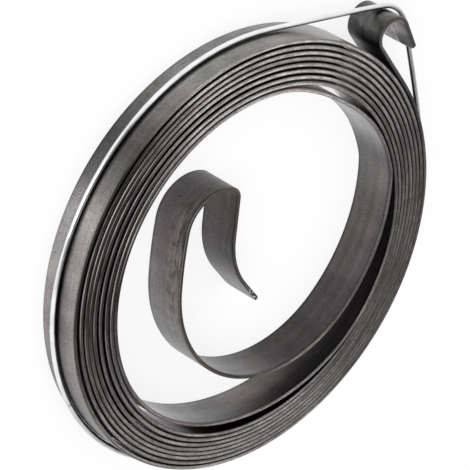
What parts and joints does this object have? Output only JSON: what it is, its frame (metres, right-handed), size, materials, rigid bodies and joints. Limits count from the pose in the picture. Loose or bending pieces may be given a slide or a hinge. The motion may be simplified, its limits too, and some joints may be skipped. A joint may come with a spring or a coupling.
{
  "type": "recoil starter spring",
  "caption": "Flat spiral recoil starter spring of dark steel strip with an inner hub hook and an outer post hook, kept wound by a bright wire ring looped over the outer hook.",
  "frame": {"origin": "on the coil's axis, at the level of the strip's lower edges, where the spring lies on a flat surface", "axes": "+Z along the coil's axis, up from the surface; +X and +Y across the coil, with the outer hook between them"},
  "size_m": [0.0642, 0.0637, 0.0064],
  "materials": {
    "spring_steel": "dark tempered strip, satin, with fine lengthwise rolling lines",
    "plated_wire": "bright plated round wire"
  },
  "bodies": {
    "root": {"spring_strip": "spring_steel", "keeper_wire": "plated_wire"}
  },
  "joints": []
}
